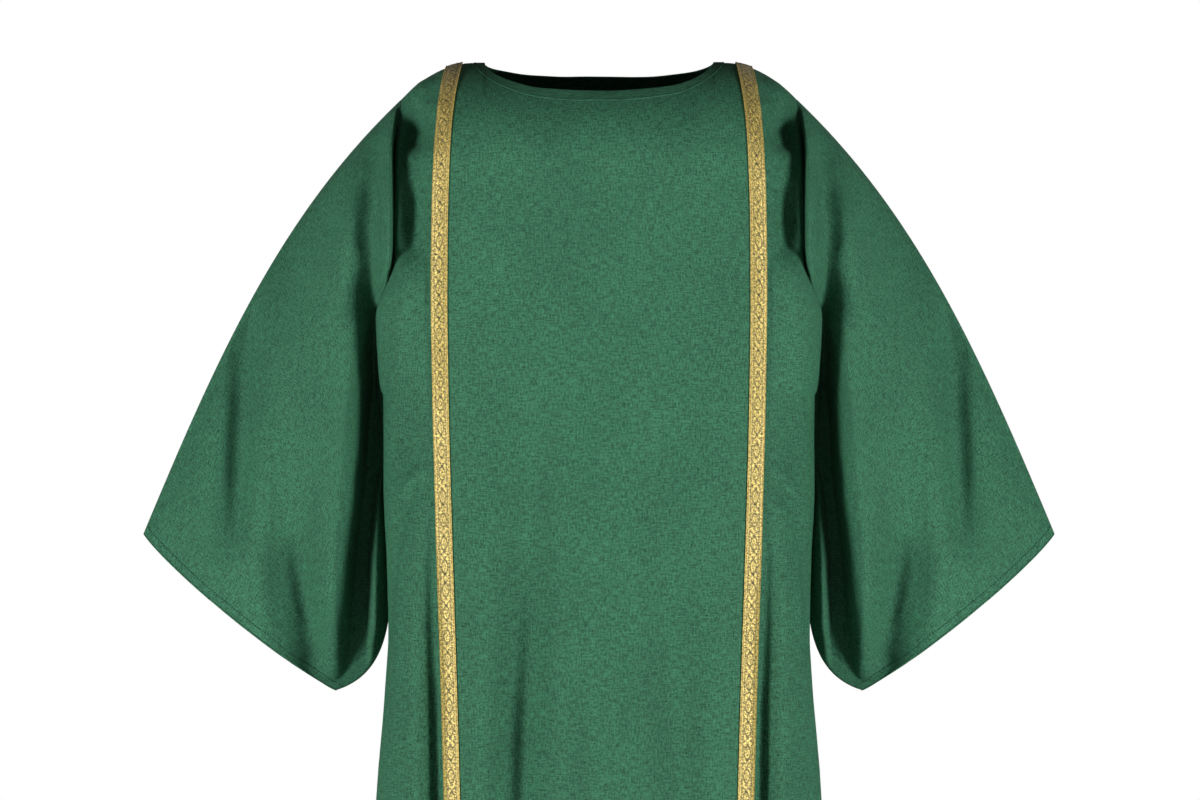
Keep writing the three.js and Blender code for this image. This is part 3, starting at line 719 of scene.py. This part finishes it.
# The UV map's second coordinate is the distance round the sleeve from its top seam, measured along
# this column.
FOREARM_COLUMN = 80
for hand, sign in [("left", 1), ("right", -1)]:
    mirror = np.array([sign, 1, 1])
    for word, side in [("front", FRONT), ("back", BACK)]:
        # The columns lie closer together by the armhole, where the folds are tight, and over the
        # last 11 mm to the mouth, where the edge is turned and sewn.
        around = np.linspace(0, 1, 141)[:, None]
        by_hem = np.array([[11, 10, 9, 8.5, 8, 7.5, 7, 5, 3, 1.2, 0]]) * MM
        by_armhole = np.linspace(0, 1, 104, endpoint=False)[None, :] ** 1.35
        main = by_armhole * from_mouth(side, around, np.array([[12 * MM]]))
        along = np.concatenate([main, from_mouth(side, around, by_hem)], 1)
        grid = sleeve_surface(side, np.broadcast_to(around, along.shape), along)
        run = lengths(grid, 1)
        down_forearm = lengths(grid, 0)[:, [FOREARM_COLUMN]]
        uv = np.stack(np.broadcast_arrays(run - run[:, -1:], down_forearm), -1)
        grid = grid * mirror
        cloth = sheet_mesh(f"{hand}_sleeve_{word}_cloth", grid, uv, outward(grid, side["facing"]))
        thicken(cloth, CLOTH)
        cloth.data.materials.append(green_cloth)
        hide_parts(f"{hand}_sleeve_{word}")

        # The mouth's turned edge and its stitches.
        around = np.linspace(0.004, 0.996, 300)[:, None]
        along = from_mouth(side, around, np.arange(MOUTH_IN + 2)[None, :] * MM)
        bed = sleeve_surface(side, np.broadcast_to(around, along.shape), along) * mirror
        up = outward(bed, side["facing"])
        section = turned_edge(bed, up, MOUTH_IN, 0, HEM_RISE)
        section[..., 1] = side["facing"] * np.maximum(side["facing"] * section[..., 1], SEAM)
        uv = np.stack([lengths(section, 0), lengths(section, 1)], -1)
        inwards = np.zeros(section.shape)
        inwards[:, : MOUTH_IN // 2] = -up[:, :1]
        hem = sheet_mesh(f"{hand}_sleeve_{word}_edge", section, uv, inwards)
        thicken(hem, HEM_THICK)
        hem.data.materials.append(green_cloth)
        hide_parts(f"{hand}_sleeve_hem_{word}")
        sewn, sewn_up = bed[2:-2, MOUTH_SEWN], up[2:-2, MOUTH_SEWN]
        row = stitches(f"{hand}_sleeve_{word}_stitches", sewn, sewn_up, pitch=0.0032, radius=0.00035)
        for piece in (cloth, hem, row):
            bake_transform(piece)


# ---------------------------------------------------------------------------------------------
# Galloons: two bands of gold jacquard braid, 16 mm wide, that run in one length from the front hem
# over the shoulder to the back hem. They are laid on the cloth and stitched down along both edges.

GALLOON_WIDTH = 0.016
GALLOON_LIFT = 0.0007
GALLOON_THICK = 0.0009


def galloon_middle(z):
    """Distance from the centre line to a galloon's middle: it spreads over the chest by an
    exponential and returns down the skirt by an even curve."""
    spread = 0.014 * (1 - np.exp(np.minimum(z, 0) / 0.060))
    return 0.144 + spread - 0.016 * ease(FLARE_DOWN, 0.900, -z)


def galloon_bed(side, hand, share, down):
    """The body's face under a galloon. hand is 1 on the left and -1 on the right, and share runs from
    -1 to 1 across it, outwards. The body's angle is found in five rounds, each from the width and
    the galloon's place at the height of the last."""
    angle = np.full(down.shape, 0.8 * hand)
    for _ in range(5):
        z = body_shape(side, angle, down)[..., 2]
        out = np.minimum((galloon_middle(z) + share * GALLOON_WIDTH / 2) / half_width(z), 0.999)
        angle = hand * np.arctan2(out, np.cbrt(1 - out**3))
    return body_surface(side, angle, down)


def galloon_pattern(u, v):
    """Where the dark ground shows between the gold, from 0 to 1, over u across and v along in
    millimetres: two thin lines along each edge, a row of ticks inside them, and down the middle a
    chain of oval medallions 23 mm apart, with a lozenge in each, a four-petalled flower between
    two, and swaying stems beside them. Each line is a bell across its own middle."""
    side_on = np.abs(u)
    lines = np.exp(-(((side_on - 5.0) / 0.4) ** 2)) * 0.75
    lines += np.exp(-(((side_on - 6.6) / 0.35) ** 2)) * 0.45
    ticks = np.exp(-(((side_on - 4.0) / 0.6) ** 2)) * (np.cos(2 * np.pi * v / 2.9) > 0.1)
    repeat = 23.0
    share = v / repeat - np.floor(v / repeat)
    at = (share - 0.5) * repeat
    oval = np.hypot(u / 2.9, at / 6.6)
    ring = np.exp(-(((oval - 1) / 0.16) ** 2))
    lozenge = np.exp(-(((np.abs(u) / 1.2 + np.abs(at) / 3.0 - 1) / 0.3) ** 2)) * 0.8
    other = share * repeat
    other = np.minimum(other, repeat - other) * np.sign(repeat / 2 - other)
    petal = np.hypot(u, other)
    round_it = np.arctan2(other, u)
    flower = np.exp(-(((petal - 2.5 - 0.9 * np.cos(4 * round_it)) / 0.5) ** 2))
    sway = 1.5 + 1.2 * np.cos(4 * np.pi * share)
    stems = np.exp(-(((side_on - sway) / 0.4) ** 2)) * (petal > 3.6) * (oval > 1.2)
    return np.clip(lines + ticks * 0.8 + ring + lozenge + flower + stems * 0.8, 0, 1)


# Gold metallised yarn on a dull olive ground: the yarn shines softly like satin, in fine ribs
# 0.8 mm apart across the band, and the ground between the figures stays matt and lower.
RIB_MM = 0.8
gold_braid = bpy.data.materials.new("gold_metallised_jacquard_braid")
gold_braid.use_nodes = True
tree = gold_braid.node_tree
tree.nodes.clear()
uv_map = add(tree, "ShaderNodeUVMap", {"uv_map": "UVMap"}, {})
in_mm = add(tree, "ShaderNodeMapping", {}, {"Vector": uv_map.outputs[0], "Scale": (1000, 1000, 1000)})
figure = add(tree, "ShaderNodeAttribute", {"attribute_name": "ground"}, {})
yarn = add(tree, "ShaderNodeTexNoise", {"noise_dimensions": "2D"}, {
    "Vector": in_mm.outputs[0], "Scale": 0.5, "Detail": 3.0, "Roughness": 0.9,
})
yarn_range = add(tree, "ShaderNodeMapRange", {}, {
    "Value": yarn.outputs[0], "From Min": 0.38, "From Max": 0.6,
})
gold = add(tree, "ShaderNodeMix", {"data_type": "RGBA"}, {
    0: yarn_range.outputs[0], 6: linear(0x5A4A1C), 7: linear(0xF8DC78),
})
braid = add(tree, "ShaderNodeMix", {"data_type": "RGBA"}, {
    0: figure.outputs["Fac"], 6: gold.outputs[2], 7: linear(0x34381F),
})
shine = add(tree, "ShaderNodeMapRange", {}, {
    "Value": figure.outputs["Fac"], "To Min": 0.42, "To Max": 0.75,
})
metal = add(tree, "ShaderNodeMapRange", {}, {
    "Value": figure.outputs["Fac"], "To Min": 0.25, "To Max": 0.0,
})
rib_across = add(tree, "ShaderNodeSeparateXYZ", {}, {0: in_mm.outputs[0]})
rib_turn = add(tree, "ShaderNodeMath", {"operation": "MULTIPLY"}, {
    0: rib_across.outputs[1], 1: 2 * np.pi / RIB_MM,
})
ribs = add(tree, "ShaderNodeMath", {"operation": "SINE"}, {0: rib_turn.outputs[0]})
rib_noise = add(tree, "ShaderNodeMath", {"operation": "MULTIPLY_ADD"}, {
    0: ribs.outputs[0], 1: 0.2, 2: yarn.outputs[0],
})
bump = add(tree, "ShaderNodeBump", {}, {
    "Height": rib_noise.outputs[0], "Strength": 0.5, "Distance": 0.0003,
})
shader = add(tree, "ShaderNodeBsdfPrincipled", {}, {
    "Base Color": braid.outputs[2], "Metallic": metal.outputs[0], "Roughness": shine.outputs[0],
    "Normal": bump.outputs[0], "Sheen Weight": 0.1,
})
add(tree, "ShaderNodeOutputMaterial", {}, {"Surface": shader.outputs[0]})

# Spun polyester sewing thread in a dull gold, along the galloon's two edges, with a soft gloss.
gold_thread = bpy.data.materials.new("gold_polyester_thread")
gold_thread.use_nodes = True
tree = gold_thread.node_tree
tree.nodes.clear()
where = add(tree, "ShaderNodeTexCoord", {}, {})
ply = add(tree, "ShaderNodeTexNoise", {}, {
    "Vector": where.outputs["Object"], "Scale": 900.0, "Detail": 1.0,
})
shade = add(tree, "ShaderNodeMix", {"data_type": "RGBA"}, {
    0: ply.outputs[0], 6: linear(0x8A6E2C), 7: linear(0xB8974A),
})
shader = add(tree, "ShaderNodeBsdfPrincipled", {}, {
    "Base Color": shade.outputs[2], "Roughness": 0.4, "Sheen Weight": 0.2,
})
add(tree, "ShaderNodeOutputMaterial", {}, {"Surface": shader.outputs[0]})

BAND_COLUMNS = 21
front_downs = np.concatenate([
    np.linspace(3 - 0.0002, 2, 696, endpoint=False),
    np.linspace(2, 1, 170, endpoint=False),
    np.linspace(1, 0, 140),
])
for hand, sign in [("left", 1), ("right", -1)]:
    parts, ups = [], []
    for side, order in [(FRONT, front_downs), (BACK, front_downs[::-1])]:
        down, share = np.meshgrid(order, np.linspace(-1, 1, BAND_COLUMNS), indexing="ij")
        part = galloon_bed(side, sign, share, down)
        parts.append(part)
        ups.append(outward(part, side["facing"]))
    bed = np.concatenate(parts)
    up = np.concatenate(ups)
    # Over the shoulder seam the two sides' directions are eased into one.
    reach = 12
    over = slice(len(front_downs) - reach, len(front_downs) + reach)
    near = (1 - np.abs(np.linspace(-1, 1, 2 * reach)))[:, None, None]
    up[over] = up[over] * (1 - near) + up[over].mean(0, keepdims=True) * near
    up /= np.linalg.norm(up, axis=-1, keepdims=True)
    v = lengths(bed, 0)[:, [BAND_COLUMNS // 2]]
    u = np.linspace(-1, 1, BAND_COLUMNS)[None, :] * GALLOON_WIDTH / 2
    u, v = np.broadcast_arrays(u, v)
    # The ground lies 0.3 mm below the gold, and the last 0.8 mm to each edge rounds down 0.35 mm.
    ground = galloon_pattern(u / MM, v / MM)
    rounding = 0.35 * MM * np.maximum(0, np.abs(u) / MM - 7.2) / 0.8
    rise = GALLOON_LIFT + GALLOON_THICK + 0.2 * MM - 0.3 * MM * ground - rounding
    band = sheet_mesh(f"galloon_{hand}", bed + up * rise[..., None], np.stack([u, v], -1), up)
    shown = band.data.attributes.new("ground", "FLOAT", "POINT")
    shown.data.foreach_set("value", ground.astype(np.float32).ravel())
    thicken(band, GALLOON_THICK)
    band.data.materials.append(gold_braid)
    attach(band, "garment_body")
    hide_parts(f"galloon_front_{hand}", f"galloon_back_{hand}")
    for word, column in [("inner", 1), ("outer", BAND_COLUMNS - 2)]:
        sewn_up = up[4:-4, column]
        sewn = bed[4:-4, column] + sewn_up * (GALLOON_LIFT + GALLOON_THICK + 0.1 * MM)
        row = stitches(f"galloon_{hand}_{word}_stitches", sewn, sewn_up, pitch=0.0034, radius=0.00028)
        row.data.materials[0] = gold_thread
        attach(row, "garment_body")


# ---------------------------------------------------------------------------------------------
# Studio: a round pale floor below the garment, faint white light all round before a white backdrop,
# two large soft lamps in front and one behind.

FLOOR_RADIUS = 3.4
FLOOR_Z = -1.45
turn = np.linspace(0, 2 * np.pi, 96, endpoint=False)
floor_rim = [FLOOR_RADIUS * np.cos(turn), FLOOR_RADIUS * np.sin(turn), np.full(96, FLOOR_Z)]
floor_mesh = bpy.data.meshes.new("floor")
floor_mesh.from_pydata(np.stack(floor_rim, 1), [], [list(range(96))])
floor = bpy.data.objects.new("floor", floor_mesh)
bpy.context.scene.collection.objects.link(floor)

# Matt white floor paint, rolled on: plain, with hardly a cloud in it.
floor_paint = bpy.data.materials.new("matt_white_floor_paint")
floor_paint.use_nodes = True
tree = floor_paint.node_tree
tree.nodes.clear()
where = add(tree, "ShaderNodeTexCoord", {}, {})
patches = add(tree, "ShaderNodeTexNoise", {}, {"Vector": where.outputs["Object"], "Scale": 3.0})
pale = add(tree, "ShaderNodeMix", {"data_type": "RGBA"}, {
    0: patches.outputs[0], 6: linear(0xE6E6E4), 7: linear(0xECECEA),
})
shader = add(tree, "ShaderNodeBsdfPrincipled", {}, {"Base Color": pale.outputs[2], "Roughness": 0.8})
add(tree, "ShaderNodeOutputMaterial", {}, {"Surface": shader.outputs[0]})
floor_mesh.materials.append(floor_paint)

# The backdrop shows white, and lights the garment only faintly.
world = bpy.data.worlds.new("studio")
world.use_nodes = True
tree = world.node_tree
tree.nodes.clear()
seen = add(tree, "ShaderNodeLightPath", {}, {})
level = add(tree, "ShaderNodeMapRange", {}, {
    "Value": seen.outputs["Is Camera Ray"], "To Min": 0.09, "To Max": 1.0,
})
sky = add(tree, "ShaderNodeBackground", {}, {"Color": (1, 1, 1, 1), "Strength": level.outputs[0]})
add(tree, "ShaderNodeOutputWorld", {}, {"Surface": sky.outputs[0]})
bpy.context.scene.world = world

lamps = [
    ("lamp_left", (-3.0, -2.4, -0.9), 1.1, 134),
    ("lamp_right", (3.0, -2.4, -0.9), 1.1, 134),
    ("lamp_back", (0, 4.2, -0.9), 2.0, 110),
]
for name, place, size, power in lamps:
    light = bpy.data.lights.new(name, "AREA")
    light.shape = "DISK"
    light.size = size
    light.energy = power
    lamp = bpy.data.objects.new(name, light)
    bpy.context.scene.collection.objects.link(lamp)
    lamp.location = place
    aim = Vector((0, 0, -0.6)) - lamp.location
    lamp.rotation_euler = aim.to_track_quat("-Z", "Y").to_euler()

# A long lens from 9 m off, level with the armpits.
camera_data = bpy.data.cameras.new("camera")
camera_data.sensor_width = 36
camera_data.lens = 270
camera = bpy.data.objects.new("camera", camera_data)
bpy.context.scene.collection.objects.link(camera)
camera.location = (0.001, -9.0, -0.335)
camera.rotation_euler = (np.pi / 2, 0, 0)
bpy.context.scene.camera = camera
bpy.context.scene.view_settings.view_transform = "Standard"
